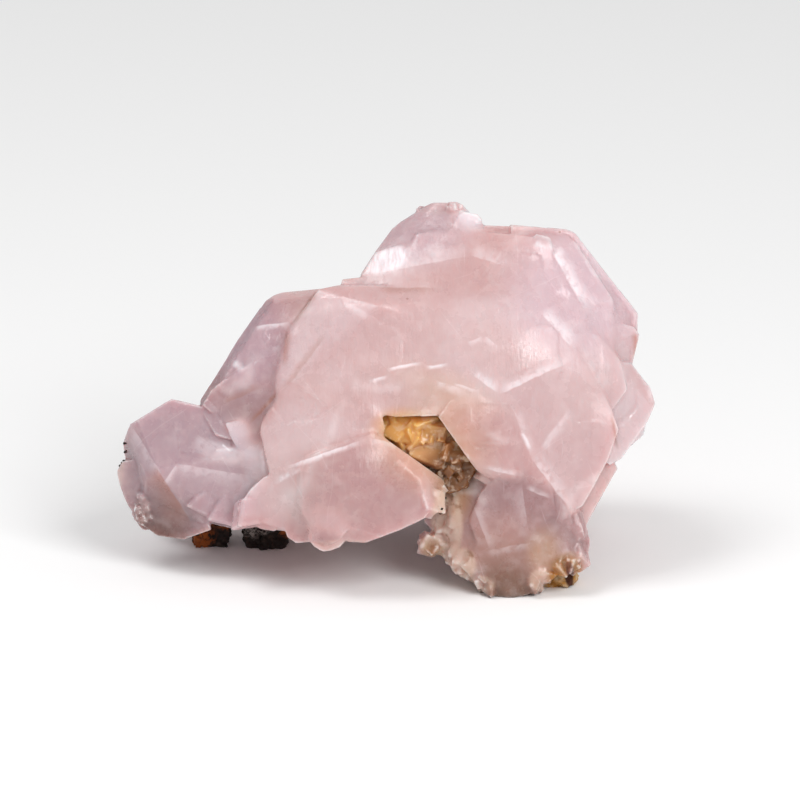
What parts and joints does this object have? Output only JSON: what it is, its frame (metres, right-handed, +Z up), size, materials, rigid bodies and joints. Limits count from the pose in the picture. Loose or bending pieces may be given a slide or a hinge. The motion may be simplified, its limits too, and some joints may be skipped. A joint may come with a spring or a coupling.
{
  "type": "calcite crystal specimen",
  "caption": "Free-standing cluster of blocky pink calcite crystals grown into one another, with a stained hollow and remnants of matrix under it. For display.",
  "frame": {"origin": "on the ground, under the middle of the specimen's bounding box", "axes": "+Z up, +X to the right along the specimen's length, -Y towards the side with the broad crystal faces"},
  "size_m": [0.108, 0.0604, 0.0718],
  "materials": {
    "pink_calcite": "milky, translucent pale pink mineral with smooth, slightly shiny crystal faces and whitish edges",
    "stained_druse": "small cream crystals with honey and orange iron stain",
    "dark_matrix": "rough black and dark brown rock with rusty rims",
    "rusty_matrix": "rough cream rock stained yellow, orange and brown"
  },
  "bodies": {
    "root": {"calcite_cluster": "pink_calcite", "pocket_druse": "stained_druse", "dark_matrix_left": "dark_matrix", "dark_matrix_centre": "dark_matrix", "stained_matrix_right": "rusty_matrix"}
  },
  "joints": []
}
